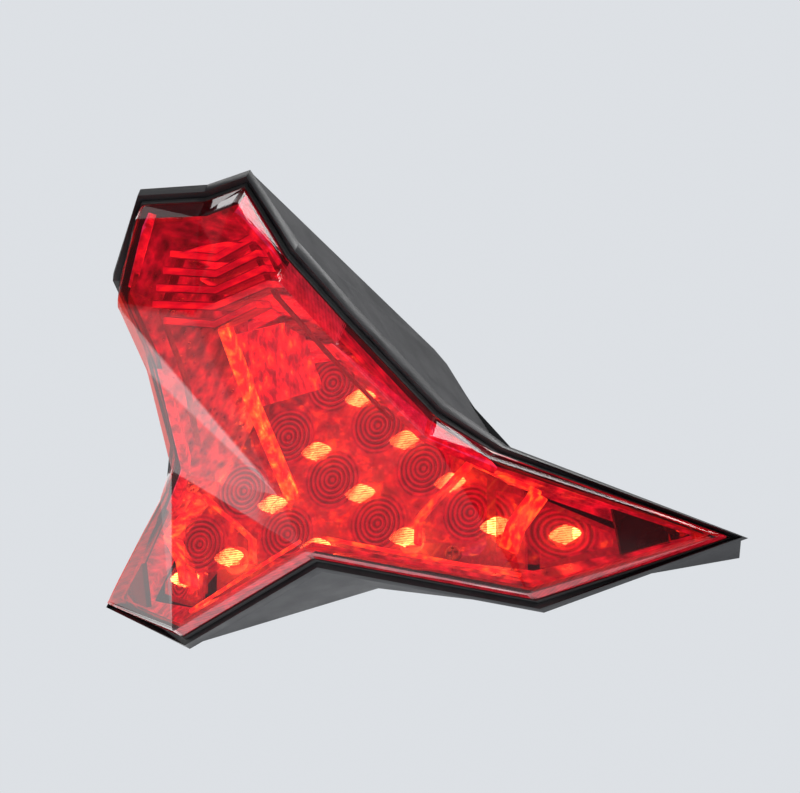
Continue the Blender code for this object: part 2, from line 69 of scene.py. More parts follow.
class Value:
    """A shader socket that takes part in Python arithmetic."""

    def __init__(self, graph: "Graph", socket: bpy.types.NodeSocket) -> None:
        """Wraps an output socket of a graph."""
        self.graph = graph
        self.socket = socket

    def maths(self, operation: str, *others: "Value | float") -> "Value":
        """The result of a Math node on this value and others."""
        return self.graph.node("ShaderNodeMath", {"operation": operation}, [self, *others])

    def __add__(self, other: "Value | float") -> "Value":
        """Sum."""
        return self.maths("ADD", other)

    __radd__ = __add__

    def __sub__(self, other: "Value | float") -> "Value":
        """Difference."""
        return self.maths("SUBTRACT", other)

    def __rsub__(self, other: float) -> "Value":
        """Difference, reflected."""
        return self.graph.node("ShaderNodeMath", {"operation": "SUBTRACT"}, [other, self])

    def __mul__(self, other: "Value | float") -> "Value":
        """Product."""
        return self.maths("MULTIPLY", other)

    __rmul__ = __mul__

    def __truediv__(self, other: "Value | float") -> "Value":
        """Quotient."""
        return self.maths("DIVIDE", other)

    def __abs__(self) -> "Value":
        """Size without sign."""
        return self.maths("ABSOLUTE")

    def ramp(self, low: float, high: float) -> "Value":
        """0 at low, 1 at high, straight between and level beyond; low may be the larger."""
        sockets = {"Value": self, "From Min": low, "From Max": high}
        return self.graph.node("ShaderNodeMapRange", {"clamp": True}, sockets)

    def wave(self, pitch: float) -> "Value":
        """A wave between 0 and 1 that repeats every pitch."""
        return (self * (math.tau / pitch)).maths("SINE") * 0.5 + 0.5

    def larger(self, other: "Value | float") -> "Value":
        """The greater of two values."""
        return self.maths("MAXIMUM", other)

    def centred(self, pitch: float) -> "Value":
        """Distance along an axis from the nearest multiple of pitch, with its sign."""
        return ((self / pitch + 0.5).maths("FRACT") - 0.5) * pitch

    def length(self, other: "Value") -> "Value":
        """Length of the vector of two values."""
        return (self * self + other * other).maths("SQRT")


class Graph:
    """The node tree of one material, with short ways to add to it."""

    def __init__(self, name: str) -> None:
        """Makes an empty material.

        Args:
            name: the material's name.
        """
        self.material = bpy.data.materials.new(name)
        self.material.use_nodes = True
        self.tree = self.material.node_tree
        self.tree.nodes.clear()

    def node(
        self,
        kind: str,
        settings: dict[str, Any] | None = None,
        sockets: dict[Any, Any] | list[Any] | None = None,
        output: int | str = 0,
    ) -> Value:
        """Adds a node.

        Args:
            kind: the node's type.
            settings: its properties, set before its sockets.
            sockets: its inputs by name or in order, as values or links.
            output: which output to return.

        Returns:
            The chosen output.
        """
        made = self.tree.nodes.new(kind)
        for key, value in (settings or {}).items():
            setattr(made, key, value)
        pairs = sockets.items() if isinstance(sockets, dict) else enumerate(sockets or [])
        for key, value in pairs:
            if isinstance(value, Value):
                self.tree.links.new(value.socket, made.inputs[key])
            elif isinstance(value, tuple) and len(value) == 3:
                made.inputs[key].default_value = (*value, 1.0)
            else:
                made.inputs[key].default_value = value
        return Value(self, made.outputs[output])

    def parts(self, vector: Value) -> list[Value]:
        """The three parts of a vector."""
        split = self.node("ShaderNodeSeparateXYZ", sockets=[vector]).socket.node
        return [Value(self, output) for output in split.outputs]

    def position(self) -> tuple[Value, Value, Value]:
        """Object coordinates on the lens drawing.

        Returns:
            X, y and z in millimetres.
        """
        spot = self.node("ShaderNodeTexCoord", output="Object")
        x, y, z = (part * (1.0 / MM) for part in self.parts(spot))
        return x, y - LAMP_Y / MM, z

    def facing(self, axis: int) -> Value:
        """How squarely the surface looks along an axis, either way, between 0 and 1."""
        return abs(self.parts(self.node("ShaderNodeNewGeometry", output="Normal"))[axis])

    def outside(self) -> Value:
        """1 where the surface is looked at from outside, 0 from inside."""
        return 1.0 - self.node("ShaderNodeNewGeometry", output="Backfacing")

    def noise(self, grain: float, detail: float = 3.0, stretch: Point | None = None) -> Value:
        """Noise between 0 and 1.

        Args:
            grain: size of its patches in millimetres.
            detail: octaves.
            stretch: scale of each axis, for streaks.

        Returns:
            The noise.
        """
        spot = self.node("ShaderNodeTexCoord", output="Object")
        if stretch:
            spot = self.node("ShaderNodeMapping", sockets=[spot])
            spot.socket.node.inputs["Scale"].default_value = stretch
        sockets = {"Vector": spot, "Scale": 1.0 / (grain * MM), "Detail": detail}
        return self.node("ShaderNodeTexNoise", {}, sockets)

    def speckle(self, size: float) -> Value:
        """Distance to the nearest of scattered points, in cells of a size in millimetres."""
        sockets = {"Vector": self.node("ShaderNodeTexCoord", output="Object")}
        return self.node("ShaderNodeTexVoronoi", {}, sockets | {"Scale": 1.0 / (size * MM)})

    def blend(self, share: Value | float, first: Colour | Value, second: Colour | Value) -> Value:
        """A colour between two colours."""
        sockets = {0: share, 6: first, 7: second}
        return self.node("ShaderNodeMix", {"data_type": "RGBA"}, sockets, 2)

    def bump(self, height: Value, depth: float) -> Value:
        """A normal from a height between 0 and 1, depth being its size in millimetres."""
        return self.node("ShaderNodeBump", {}, {"Height": height, "Distance": depth * MM})

    def window(self, tint: Colour) -> Value:
        """A shader that lets light through and tints it."""
        return self.node("ShaderNodeBsdfTransparent", {}, {"Color": tint})

    def principled(self, **sockets: Any) -> Value:
        """A Principled shader; underscores in names stand for spaces."""
        named = {key.replace("_", " "): value for key, value in sockets.items()}
        return self.node("ShaderNodeBsdfPrincipled", {}, named)

    def mixed(self, share: Value, first: Value, second: Value) -> Value:
        """A shader between two shaders."""
        return self.node("ShaderNodeMixShader", {}, [share, first, second])

    def finish(self, surface: Value) -> bpy.types.Material:
        """Closes the graph.

        Args:
            surface: the shader of the surface.

        Returns:
            The material.
        """
        output = self.tree.nodes.new("ShaderNodeOutputMaterial")
        self.tree.links.new(surface.socket, output.inputs["Surface"])
        return self.material


# ---------------------------------------------------------------- where the light is


@dataclass(frozen=True)
class LightGrid:
    """The square grid of light sources, turned by 45 degrees, and the two in the wings.

    Lengths are millimetres.
    """

    pitch: float = 20.0
    rows: int = 4
    top_z: float = 21.5
    wing_x: float = 60.5
    wing_z: float = -24.0
    wing_from_x: float = 50.0
    seam: float = 0.1

    def places(self) -> list[tuple[float, float]]:
        """X and Z of the centre sources, row by row from the top.

        Returns:
            The places, one source more in each row.
        """
        step = self.pitch * DIAGONAL
        return [
            (column * step, self.top_z - row * step)
            for row in range(self.rows)
            for column in range(-row, row + 1, 2)
        ]

    def axes(self, graph: Graph) -> tuple[Value, Value]:
        """Distances along the grid's two directions from the nearest source.

        Args:
            graph: the graph to add them to.

        Returns:
            The two distances, with their signs.
        """
        x, _, z = graph.position()
        drop = self.top_z - z
        along, across = (drop + x) * DIAGONAL, (drop - x) * DIAGONAL
        return along.centred(self.pitch), across.centred(self.pitch)

    def distance(self, graph: Graph) -> Value:
        """Distance to the nearest source, looked at from the front.

        Args:
            graph: the graph to add it to.

        Returns:
            The distance.
        """
        x, _, z = graph.position()
        along, across = self.axes(graph)
        wing = (abs(x) - self.wing_x).length(z - self.wing_z)
        inside = abs(x).ramp(self.wing_from_x - self.seam, self.wing_from_x + self.seam)
        return along.length(across) * (1.0 - inside) + wing * inside


GRID = LightGrid()


@dataclass(frozen=True)
class Lit:
    """The light inside the lamp, which is switched on, painted as glow onto the parts it reaches.

    A level runs from 0, where no light reaches, through the red that bounces about inside the
    lens, to 1, a source looked at directly.
    """

    power: float = 30.0
    stops: tuple[tuple[float, Colour], ...] = (
        (0.0, (0.0022, 0.0, 0.0004)),
        (0.18, (0.0088, 0.0002, 0.005)),
        (0.4, (0.028, 0.0008, 0.013)),
        (0.6, (0.054, 0.008, 0.013)),
        (0.78, (0.12, 0.09, 0.018)),
        (0.9, (0.4, 0.4, 0.1)),
        (1.0, (1.0, 1.0, 0.4)),
    )

    def glow(self, g: Graph, level: Value) -> dict[str, Any]:
        """Turns a level into light, painted as emission.

        Args:
            g: the graph to add to.
            level: how much light there is.

        Returns:
            The emission sockets of a Principled shader.
        """
        ramp = g.node("ShaderNodeValToRGB", {}, [level])
        band = ramp.socket.node.color_ramp
        while len(band.elements) < len(self.stops):
            band.elements.new(0.5)
        for element, (place, colour) in zip(band.elements, self.stops):
            element.position, element.color = place, (*colour, 1.0)
        return {"Emission_Color": ramp, "Emission_Strength": self.power}


LIT = Lit()


# ---------------------------------------------------------------- finishes


@dataclass(frozen=True)
class Look:
    """A finish by name; each kind says what its surface is like."""

    name: str

    def surface(self, g: Graph) -> Value:
        """Makes the shader of the surface in a graph."""
        raise NotImplementedError

    def make(self) -> bpy.types.Material:
        """Builds the material."""
        g = Graph(f"{self.name}_look")
        return g.finish(self.surface(g))


@dataclass(frozen=True)
class RedLens(Look):
    """Clear red acrylic: tinted when looked through, glossy outside, with painted glow in its side
    walls.
    """

    name: str = "red_lens"
    tint: Colour = (0.95, 0.25, 0.2)
    body: Colour = (0.18, 0.0, 0.01)
    pale_body: Colour = (0.3, 0.0, 0.016)
    body_share: float = 0.06
    wall_share: float = 0.55
    wall_begins: float = 0.34
    wall_full: float = 0.2
    wall_glow: Colour = (1.0, 0.02, 0.035)
    rib_pitch: float = 1.3
    rib_slope: float = 0.3
    index: float = 1.36
    gloss: float = 0.04

    def surface(self, g: Graph) -> Value:
        """Tinted window with a faint body, side walls brightened by painted glow, and a mirror on
        the outside.

        Args:
            g: the graph to make it in.

        Returns:
            The shader.
        """
        _, y, z = g.position()
        streaks = g.noise(3.0, 4.0).ramp(0.35, 0.7)
        wall = g.facing(1).ramp(self.wall_begins, self.wall_full)
        ribs = (y + z * self.rib_slope).wave(self.rib_pitch)
        # The side walls' glow is painted light: streaks and rib bands of emission stand in for lamp
        # light caught in the acrylic; the streaks also vary the lens's own tone.
        level = (streaks * 0.5 + ribs * 0.25 + 0.15) * wall
        plastic = g.principled(
            Base_Color=g.blend(streaks, self.body, self.pale_body),
            Roughness=streaks * 0.1 + self.gloss,
            Emission_Color=g.blend(level, BLACK, self.wall_glow),
            Emission_Strength=1.0,
        )
        outside = g.outside()
        body = wall * self.wall_share + outside * self.body_share
        seen = g.mixed(body, g.window(self.tint), plastic)
        shine = g.node(
            "ShaderNodeBsdfAnisotropic", {}, {"Color": WHITE, "Roughness": self.gloss}
        )
        mirror = g.node("ShaderNodeFresnel", {}, {"IOR": self.index}) * outside
        return g.mixed(mirror, seen, shine)


@dataclass(frozen=True)
class Moulded(Look):
    """Grained or polished moulded plastic or rubber."""

    dark: Colour
    pale: Colour
    rough: float
    rough_spread: float
    grain: float = 0.45
    depth: float = 0.03

    def surface(self, g: Graph) -> Value:
        """Cloudy plastic with a fine grain.

        Args:
            g: the graph to make it in.

        Returns:
            The shader.
        """
        cloud = g.noise(9.0, 4.0).ramp(0.3, 0.7)
        grain = g.noise(self.grain, 2.0)
        return g.principled(
            Base_Color=g.blend(cloud * 0.6 + grain * 0.4, self.dark, self.pale),
            Roughness=cloud * self.rough_spread + self.rough,
            Normal=g.bump(grain, self.depth),
        )


@dataclass(frozen=True)
class Metal(Look):
    """Turned or stamped metal with fine brushing and some tarnish."""

    clean: Colour
    tarnished: Colour
    rough: float = 0.22
    brush_stretch: Point = (1.0, 1.0, 12.0)

    def surface(self, g: Graph) -> Value:
        """Brushed metal with tarnished patches.

        Args:
            g: the graph to make it in.

        Returns:
            The shader.
        """
        tarnish = g.noise(2.2, 5.0).ramp(0.42, 0.75)
        brushing = g.noise(0.6, 2.0, self.brush_stretch)
        return g.principled(
            Base_Color=g.blend(tarnish, self.clean, self.tarnished),
            Metallic=1.0,
            Roughness=tarnish * 0.2 + brushing * 0.12 + self.rough,
            Normal=g.bump(brushing, 0.01),
        )


@dataclass(frozen=True)
class Metallised(Look):
    """Aluminium-coated plastic with the light of the sources next to it painted on as glow."""

    name: str = "metallised"
    low: float = 0.05
    high: float = 0.4
    near_glow: float = 0.12
    brow_painted_shade: float = 0.16
    brow_from_z: float = 14.0
    brow_full_z: float = 26.0
    silver: Colour = (0.4, 0.38, 0.38)
    shade: Colour = (0.12, 0.1, 0.1)

    def surface(self, g: Graph) -> Value:
        """Small facets, with painted light near a source and painted shade towards the forehead.

        Args:
            g: the graph to make it in.

        Returns:
            The shader.
        """
        facets = g.speckle(2.6).ramp(0.1, 0.8)
        cloud = g.noise(5.0, 4.0).ramp(0.35, 0.68)
        near = GRID.distance(g).ramp(14.0, 3.0)
        height = g.position()[2]
        # Painted light: the glow of the facets, a pool of it near each source, and painted shade
        # towards the forehead.
        level = (cloud * 0.6 + facets * 0.4) * (self.high - self.low) + self.low
        level = level + near * self.near_glow
        level = level - height.ramp(self.brow_from_z, self.brow_full_z) * self.brow_painted_shade
        return g.principled(
            Base_Color=g.blend(cloud, self.shade, self.silver),
            Metallic=1.0,
            Roughness=facets * 0.25 + 0.25,
            Normal=g.bump(facets, 0.15),
            **LIT.glow(g, level),
        )


@dataclass(frozen=True)
class Treads(Look):
    """Aluminium-coated steps, with painted light on every other flat."""

    name: str = "treads"
    pitch: float = 6.6
    lean: float = 0.35

    def surface(self, g: Graph) -> Value:
        """Bands of painted light and shade that fall away to the sides.

        Args:
            g: the graph to make it in.

        Returns:
            The shader.
        """
        x, _, z = g.position()
        cloud = g.noise(4.0, 4.0, (1.0, 1.0, 2.5)).ramp(0.35, 0.68)
        # Painted light and shade: bright and dark bands of glow across the steps.
        band = (z + abs(x) * self.lean).wave(self.pitch).ramp(0.35, 0.65)
        return g.principled(
            Base_Color=g.blend(cloud, DARK_ALUMINIUM, PALE_ALUMINIUM),
            Metallic=1.0,
            Roughness=cloud * 0.2 + 0.2,
            Normal=g.bump(cloud, 0.2),
            **LIT.glow(g, band * 0.36 + cloud * 0.16 + 0.02),
        )


@dataclass(frozen=True)
class Slats(Look):
    """Aluminium-coated slats with painted light on their front lips and painted shade on their
    undersides.
    """

    name: str = "slats"

    def surface(self, g: Graph) -> Value:
        """Painted light where it stands upright, painted shade where it lies flat.

        Args:
            g: the graph to make it in.

        Returns:
            The shader.
        """
        cloud = g.noise(5.0, 4.0, (0.6, 1.0, 2.0)).ramp(0.35, 0.68)
        # Painted light and shade by facing: upright faces glow brighter than flat ones.
        upright = g.facing(2).ramp(0.75, 0.45)
        return g.principled(
            Base_Color=g.blend(cloud, DARK_ALUMINIUM, PALE_ALUMINIUM),
            Metallic=0.9,
            Roughness=cloud * 0.2 + 0.25,
            Normal=g.bump(cloud, 0.2),
            **LIT.glow(g, upright * 0.26 + cloud * 0.22 + 0.04),
        )


@dataclass(frozen=True)
class Optic(Look):
    """Clear acrylic with moulded rings round each source."""

    name: str = "clear_optic"
    clear: Colour = (0.16, 0.15, 0.15)
    milky: Colour = (0.26, 0.25, 0.25)
    tint: Colour = (0.97, 0.97, 0.97)
    ring: float = 1.4
    rings_to: float = 9.4
    rings_fade: float = 2.5
    cover: float = 0.34
    ring_cover: float = 0.42

    def surface(self, g: Graph) -> Value:
        """Rings round each source in dim painted light, and lively patches of painted light between
        them.

        Args:
            g: the graph to make it in.

        Returns:
            The shader.
        """
        away = GRID.distance(g)
        rings = away.wave(self.ring)
        zone = away.ramp(self.rings_to, self.rings_to - self.rings_fade)
        cloud = g.noise(2.4, 4.0).ramp(0.32, 0.7)
        # Painted light: patches, glints and blotches of glow between the rings, and dim banded glow
        # over the rings.
        patch = g.noise(9.0, 2.0).ramp(0.4, 0.62)
        painted_glints = g.noise(1.3, 3.0, (0.7, 1.0, 1.6)).ramp(0.56, 0.72) * patch
        painted_light_blotch = g.noise(3.4, 2.0).ramp(0.45, 0.6)
        lively = cloud * 0.34 + 0.14 + patch * 0.12 + painted_light_blotch * 0.2 + painted_glints * 0.25
        ring_light_level = rings * 0.3 + cloud * 0.1 + 0.02
        body = g.principled(
            Base_Color=g.blend(cloud, self.clear, self.milky),
            Roughness=cloud * 0.1 + 0.12,
            Normal=g.bump(rings * zone + cloud * 0.3, 0.25),
            **LIT.glow(g, lively * (1.0 - zone) + ring_light_level * zone),
        )
        share = (zone * self.ring_cover + self.cover - cloud * 0.12) * g.outside()
        return g.mixed(share, g.window(self.tint), body)


@dataclass(frozen=True)
class GlowBar(Look):
    """Clear acrylic with painted glow, brighter in places."""

    low: float
    high: float
    grain: float = 2.5
    stripe: float = 0.6
    stripe_depth: float = 0.0
    clear: Colour = (0.2, 0.18, 0.18)
    milky: Colour = (0.3, 0.28, 0.28)

    def surface(self, g: Graph) -> Value:
        """Clouds of painted light between a low and a high level, with painted stripes of light
        across them.

        Args:
            g: the graph to make it in.

        Returns:
            The shader.
        """
        cloud = g.noise(self.grain, 4.0).ramp(0.35, 0.68)
        stripes = g.position()[2].wave(self.stripe) * self.stripe_depth
        # The glow is painted light: these parts are no lamps.
        level = cloud * (self.high - self.low) + self.low - stripes
        return g.principled(
            Base_Color=g.blend(cloud, self.clear, self.milky),
            Roughness=cloud * 0.2 + 0.15,
            **LIT.glow(g, level),
        )


@dataclass(frozen=True)
class CircuitBoard(Look):
    """Grey solder mask with metal pads and faint copper runs."""

    name: str = "circuit_board"
    mask: Colour = (0.12, 0.12, 0.12)
    copper: Colour = (0.4, 0.33, 0.22)
    run_offset: float = 8.0
    pad_radius: float = 4.2

    def surface(self, g: Graph) -> Value:
        """Runs along the grid of sources and a pad round each, with painted light that is brighter
        on the pads and dimmer over the runs.

        Args:
            g: the graph to make it in.

        Returns:
            The shader.
        """
        along, across = GRID.axes(g)
        runs = abs(abs(along) - self.run_offset).ramp(0.5, 0.3)
        runs = runs.larger(abs(across).ramp(0.6, 0.4))
        pads = GRID.distance(g).ramp(self.pad_radius, self.pad_radius - 0.2)
        cloud = g.noise(1.2, 3.0)
        # Painted light on the board: brighter on the pads, dimmer over the runs.
        level = (cloud * 0.25 + 0.04) * (1.2 - runs * 0.6) + pads * 0.3
        return g.principled(
            Base_Color=g.blend(runs.larger(pads) * 0.8, self.mask, self.copper),
            Roughness=cloud * 0.2 + 0.4,
            Metallic=pads * 0.6,
            **LIT.glow(g, level),
        )


@dataclass(frozen=True)
class LightSource(Look):
    """A lit package: bright dome on a pale body."""

    name: str = "led_package"
    resin: Colour = (0.75, 0.7, 0.5)
    pale_resin: Colour = (0.9, 0.85, 0.7)
    dome_edge: float = 1.9
    dome_core: float = 0.8

    def surface(self, g: Graph) -> Value:
        """Bright at the dome's core and less so on the body.

        Args:
            g: the graph to make it in.

        Returns:
            The shader.
        """
        cloud = g.noise(0.5, 2.0)
        dome = GRID.distance(g).ramp(self.dome_edge, self.dome_core)
        return g.principled(
            Base_Color=g.blend(cloud, self.resin, self.pale_resin),
            Roughness=cloud * 0.2 + 0.3,
            **LIT.glow(g, dome * 0.35 + 0.6 + cloud * 0.05),
        )


HOUSING_PLASTIC = Moulded("black_housing", (0.008, 0.008, 0.009), (0.02, 0.02, 0.022), 0.42, 0.16)
SEAL_RUBBER = Moulded("seal_rubber", (0.012, 0.012, 0.012), (0.03, 0.03, 0.03), 0.7, 0.15, 0.8)
GLOSSY_TRIM = Moulded(
    "black_trim", (0.006, 0.006, 0.007), (0.014, 0.014, 0.015), 0.2, 0.12, 1.2, 0.015
)
CHIP_RESIN = Moulded("chip", (0.01, 0.01, 0.01), (0.03, 0.03, 0.03), 0.35, 0.1, 0.3)


class Finish(Enum):
    """Every finish on the lamp, with the material slot that it belongs to."""

    RED_LENS = ("red_lens", RedLens())
    HOUSING = ("black_housing", HOUSING_PLASTIC)
    SEAL = ("seal_rubber", SEAL_RUBBER)
    SILVER = ("metallised", Metallised())
    TREADS = ("metallised", Treads())
    SLAT = ("metallised", Slats())
    # The glowing parts below are no lamps: their glow is painted light, the pillows' glow painting
    # the sources' hot spots.
    LINER = ("metallised", GlowBar("liner_glow", 0.2, 0.52, 3.0))
    TRIM = ("black_trim", GLOSSY_TRIM)
    OPTIC = ("clear_optic", Optic())
    KEEL = ("clear_optic", GlowBar("keel_glow", 0.52, 0.84))
    WEB = ("clear_optic", GlowBar("web_glow", 0.24, 0.7, 4.0))
    FIN = ("clear_optic", GlowBar("fin_glow", 0.44, 0.78, 3.0))
    PILLOW = ("clear_optic", GlowBar("pillow_glow", 1.0, 1.2, 1.2, 0.66, 0.26))
    DIM = ("clear_optic", GlowBar("dim_glow", 0.02, 0.14, 4.0))
    BOARD = ("circuit_board", CircuitBoard())
    SOURCE = ("led_package", LightSource())
    STEEL = ("steel", Metal("steel", (0.62, 0.61, 0.6), (0.4, 0.38, 0.36)))
    BRASS = ("brass", Metal("brass", (0.78, 0.57, 0.25), (0.45, 0.3, 0.12)))
    CHIP = ("chip", CHIP_RESIN)

    def __init__(self, slot_name: str, look: Look) -> None:
        """Keeps the record's material slot and the look."""
        self.slot_name = slot_name
        self.look = look

    def material(self) -> bpy.types.Material:
        """The material, made once."""
        return bpy.data.materials.get(f"{self.look.name}_look") or self.look.make()


# ---------------------------------------------------------------- modelling steps


def in_frame(point: Sequence[float]) -> Vector:
    """A point of the lens drawing, in metres of the lamp's frame."""
    return Vector((point[0] * MM, point[1] * MM + LAMP_Y, point[2] * MM))


def mirrored(points: Sequence[Point], side: int) -> list[Point]:
    """The points on one side: side is 1 for the right and -1 for the left."""
    return [(side * x, y, z) for x, y, z in points]


def start() -> None:
    """Leaves object mode with nothing selected."""
    if bpy.context.object and bpy.context.object.mode != "OBJECT":
        bpy.ops.object.mode_set(mode="OBJECT")
    bpy.ops.object.select_all(action="DESELECT")


def only(piece: bpy.types.Object) -> None:
    """Selects one piece.

    Args:
        piece: the piece, which becomes the active one too.
    """
    start()
    piece.select_set(True)
    bpy.context.view_layer.objects.active = piece


def settle(piece: bpy.types.Object) -> bpy.types.Object:
    """Puts a piece's place, turn and scale into its mesh.

    Args:
        piece: the piece.

    Returns:
        The same piece.
    """
    only(piece)
    bpy.ops.object.transform_apply(location=True, rotation=True, scale=True)
    return piece


def tidy_mesh(piece: bpy.types.Object, merge: float = 0.01) -> None:
    """Merges doubles and points the faces outwards.

    Args:
        piece: the piece.
        merge: how close two corners are to be one, in millimetres.
    """
    only(piece)
    bpy.ops.object.mode_set(mode="EDIT")
    bpy.ops.mesh.select_all(action="SELECT")
    bpy.ops.mesh.remove_doubles(threshold=merge * MM)
    bpy.ops.mesh.normals_make_consistent(inside=False)
    bpy.ops.object.mode_set(mode="OBJECT")


def modify(piece: bpy.types.Object, kind: str, **settings: Any) -> None:
    """Adds a modifier and applies it.

    Args:
        piece: the piece.
        kind: the modifier's type.
        **settings: its properties.
    """
    only(piece)
    modifier = piece.modifiers.new(kind.lower(), kind)
    for key, value in settings.items():
        setattr(modifier, key, value)
    bpy.ops.object.modifier_apply(modifier=modifier.name)


def soften(
    piece: bpy.types.Object, width: float, segments: int = 2, angle: float = 25.0
) -> None:
    """Rounds the edges of a piece.

    Args:
        piece: the piece.
        width: width of the rounding in millimetres.
        segments: faces across it.
        angle: the least angle of an edge that is rounded, in degrees.
    """
    only(piece)
    bpy.ops.object.shade_smooth()
    modify(
        piece,
        "BEVEL",
        width=width * MM,
        segments=segments,
        limit_method="ANGLE",
        angle_limit=math.radians(angle),
        use_clamp_overlap=True,
        harden_normals=True,
    )


def pick(piece: bpy.types.Object, kind: str, wanted: Callable[[Any], bool]) -> None:
    """Enters edit mode with only some faces or edges selected.

    Args:
        piece: the piece.
        kind: FACE or EDGE.
        wanted: says of a face or an edge whether it is to be selected.
    """
    only(piece)
    bpy.ops.object.mode_set(mode="EDIT")
    bpy.ops.mesh.select_mode(type=kind)
    bpy.ops.mesh.select_all(action="DESELECT")
    bpy.ops.object.mode_set(mode="OBJECT")
    for element in piece.data.polygons if kind == "FACE" else piece.data.edges:
        element.select = wanted(element)
    bpy.ops.object.mode_set(mode="EDIT")


def dress(piece: bpy.types.Object, finish: Finish, *stands_for: str) -> None:
    """Gives a new piece its finish and its body, and reports it.

    Args:
        piece: the piece.
        finish: what it is made of.
        *stands_for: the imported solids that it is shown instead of.
    """
    piece.data.materials.clear()
    piece.data.materials.append(finish.material())
    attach(piece, "root")
    if stands_for:
        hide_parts(*stands_for)
    LOG.info("%s: %d faces", piece.name, len(piece.data.polygons))


def repaint(finish: Finish, *nodes: str) -> None:
    """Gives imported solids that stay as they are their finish.

    Args:
        finish: what they are made of.
        *nodes: their names.
    """
    for name in nodes:
        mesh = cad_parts[name].data
        mesh.materials.clear()
        mesh.materials.append(finish.material())
        LOG.info("%s: kept, %s", name, finish.name)


def copy_of(node: str, name: str, flatness: float = 0.6) -> bpy.types.Object:
    """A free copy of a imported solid, merged into whole faces.

    Args:
        node: the solid.
        name: the copy's name.
        flatness: degrees between triangles that make one face.

    Returns:
        The copy.
    """
    start()
    piece = bpy.data.objects.new(name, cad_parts[node].data.copy())
    bpy.context.scene.collection.objects.link(piece)
    tidy_mesh(piece)
    modify(piece, "DECIMATE", decimate_type="DISSOLVE", angle_limit=math.radians(flatness))
    return piece


def copies(
    piece: bpy.types.Object, name: str, places: Iterable[Vector]
) -> list[bpy.types.Object]:
    """Copies of a piece made at the origin, which is used up.

    Args:
        piece: the piece.
        name: what the copies are called, before their number.
        places: where they stand.

    Returns:
        The copies, each with a mesh of its own.
    """
    made = []
    for number, place in enumerate(places, 1):
        other = bpy.data.objects.new(f"{name}_{number:02d}", piece.data.copy())
        bpy.context.scene.collection.objects.link(other)
        other.location = place
        made.append(settle(other))
    bpy.data.objects.remove(piece)
    return made


def plate(
    name: str, corners: Sequence[Point], thickness: float, rounding: float = 0.2
) -> bpy.types.Object:
    """A flat plate of any outline.

    Args:
        name: its name.
        corners: its outline on the lens drawing.
        thickness: its thickness in millimetres.
        rounding: width of its rounded edges in millimetres.

    Returns:
        The plate.
    """
    start()
    bpy.ops.mesh.primitive_circle_add(vertices=len(corners), radius=MM, fill_type="NGON")
    piece = bpy.context.object
    piece.name = name
    for vertex, corner in zip(piece.data.vertices, corners):
        vertex.co = in_frame(corner)
    settle(piece)
    tidy_mesh(piece)
    modify(piece, "SOLIDIFY", thickness=thickness * MM, offset=0.0)
    soften(piece, rounding, 1, 40.0)
    return piece


def ribbon(
    name: str, line: Sequence[Point], depth: Point, thickness: float
) -> bpy.types.Object:
    """A bent strip: a line swept by a depth and given a thickness.

    Args:
        name: its name.
        line: the corners of the line on the lens drawing.
        depth: the way and distance that the line is swept.
        thickness: its thickness in millimetres.

    Returns:
        The strip.
    """
    start()
    bpy.ops.mesh.primitive_plane_add(size=MM)
    piece = bpy.context.object
    piece.name = name
    sweep = Vector(depth)
    run = sweep.normalized()
    ends = [Vector(line[0]), Vector(line[1])]
    for vertex, corner in zip(piece.data.vertices, [*ends, *(end + sweep for end in ends)]):
        vertex.co = in_frame(corner)
    settle(piece)
    for before, after in zip(line[1:], line[2:]):
        last = in_frame(before)

        def at_end(edge: bpy.types.MeshEdge) -> bool:
            """Whether an edge lies at the end of what is made so far."""
            spots = [piece.data.vertices[i].co - last for i in edge.vertices]
            return all((spot - run * spot.dot(run)).length < 0.1 * MM for spot in spots)

        pick(piece, "EDGE", at_end)
        move = {"value": (Vector(after) - Vector(before)) * MM}
        bpy.ops.mesh.extrude_region_move(TRANSFORM_OT_translate=move)
        bpy.ops.object.mode_set(mode="OBJECT")
    tidy_mesh(piece)
    modify(piece, "SOLIDIFY", thickness=thickness * MM, offset=0.0)
    soften(piece, thickness * 0.2, 1, 40.0)
    return piece


# ---------------------------------------------------------------- sub-assemblies


@dataclass
class Cover:
    """The outer lens, its liner and the gasket behind it. Lengths are millimetres."""

    edge: float = 0.8
    crease_angle: float = 6.0
    wall_slope: float = 0.6
    clearance: float = 0.2
    liner_width: float = 2.2

    def build(self) -> None:
        """Builds the lens with softened creases, and its liner."""
        lens = copy_of("outer_lens", "lens_cover")
        soften(lens, self.edge, 3, self.crease_angle)
        bpy.ops.object.shade_flat()
        dress(lens, Finish.RED_LENS, "outer_lens")
        # The liner's glow is painted light over the housing's edge.
        dress(self.liner(), Finish.LINER)
        repaint(Finish.SEAL, "lens_seal")

    def liner(self) -> bpy.types.Object:
        """A strip with painted glow on the inside of the lens's side wall, over the housing's edge.

        Returns:
            The strip.
        """
        strip = copy_of("outer_lens", "rim_liner")
        corners, faces = strip.data.vertices, strip.data.polygons
        tree = BVHTree.FromPolygons([v.co for v in corners], [f.vertices[:] for f in faces])

        def not_inside_wall(face: bpy.types.MeshPolygon) -> bool:
            """Whether a face is not part of the side wall or doesn't look into the lens.

            Args:
                face: the face.

            Returns:
                Whether it is to be taken away.
            """
            across = Vector((face.normal.x, 0.0, face.normal.z))
            hit = tree.ray_cast(face.center + face.normal * self.clearance * MM, across)[0]
            return abs(face.normal.y) >= self.wall_slope or hit is None

        pick(strip, "FACE", not_inside_wall)
        bpy.ops.mesh.delete(type="FACE")
        bpy.ops.object.mode_set(mode="OBJECT")
        width = self.liner_width * MM
        modify(strip, "SOLIDIFY", thickness=width, offset=1.0, use_even_offset=True)
        return strip


